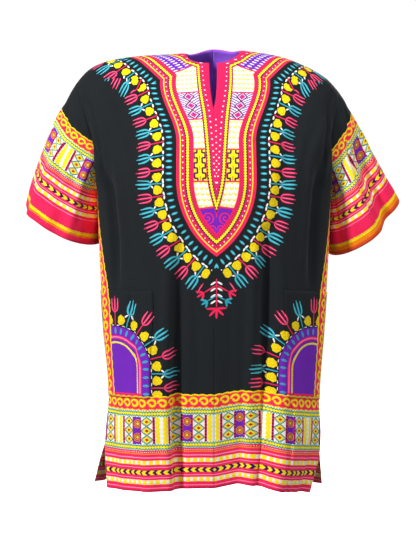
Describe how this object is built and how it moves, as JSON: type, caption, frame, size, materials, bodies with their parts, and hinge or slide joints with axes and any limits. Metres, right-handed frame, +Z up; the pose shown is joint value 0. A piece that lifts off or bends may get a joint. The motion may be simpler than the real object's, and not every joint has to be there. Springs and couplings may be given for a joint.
{
  "type": "dashiki shirt",
  "caption": "Loose pull-on cotton shirt with a round neck, front slit, short wide sleeves, patch pockets and side vents, printed with bright borders on black",
  "frame": {"origin": "between the shoulders, level with the ends of the shoulder seams at the neck, where the wearer's shoulders carry the shirt", "axes": "+Z up, -Y out of the shirt's front, +X to the right of the picture, which is the wearer's left"},
  "size_m": [0.654, 0.2613, 0.7787],
  "materials": {
    "front": "matte printed cotton, black ground",
    "back": "matte printed cotton, black ground",
    "sleeve_left": "matte printed cotton, black above and pink at the cuff",
    "sleeve_right": "matte printed cotton, black above and pink at the cuff",
    "pocket_left": "matte printed cotton, purple half-round on black",
    "pocket_right": "matte printed cotton, purple half-round on black",
    "neck_facing": "matte plain cotton"
  },
  "bodies": {
    "root": {"front": "front", "back": "back", "sleeve_left": "sleeve_left", "sleeve_right": "sleeve_right", "pocket_left": "pocket_left", "pocket_right": "pocket_right", "neck_facing": "neck_facing"}
  },
  "joints": []
}
